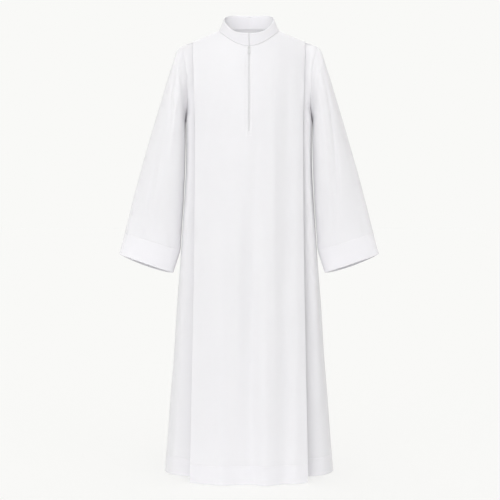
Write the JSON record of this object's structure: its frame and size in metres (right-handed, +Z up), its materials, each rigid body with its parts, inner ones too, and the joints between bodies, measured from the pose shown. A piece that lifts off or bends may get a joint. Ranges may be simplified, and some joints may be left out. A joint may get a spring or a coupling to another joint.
{
  "type": "alb robe",
  "caption": "Long white robe with a stand collar, a zip at the neck, pleated front and back panels and wide sleeves, hollow as if worn.",
  "frame": {"origin": "centre of the neck at the height where the shoulder seams meet the collar", "axes": "+Z up, -Y the way the front faces, +X to the wearer's left"},
  "size_m": [0.823, 0.3988, 1.4586],
  "materials": {
    "cloth": "matt fine plain weave, white polyester and cotton",
    "zip_tape": "white woven tape",
    "zip_enamel": "white enamel"
  },
  "bodies": {
    "robe": {"front_panel": "cloth", "back_panel": "cloth", "side_front_left": "cloth", "side_front_right": "cloth", "side_back_left": "cloth", "side_back_right": "cloth", "sleeve_left": "cloth", "sleeve_right": "cloth", "collar_left": "cloth", "collar_right": "cloth", "zip_tape_left": "zip_tape", "zip_tape_right": "zip_tape", "zip_slider": "zip_enamel"},
    "pull": {"zip_pull": "zip_enamel"}
  },
  "joints": [
    {"name": "pull_swing", "type": "hinge", "parent": "robe", "child": "pull", "pos_m": [0, -0.09405, -0.06675], "axis": [-1, 0, 0], "range_deg": [0, 150]}
  ]
}
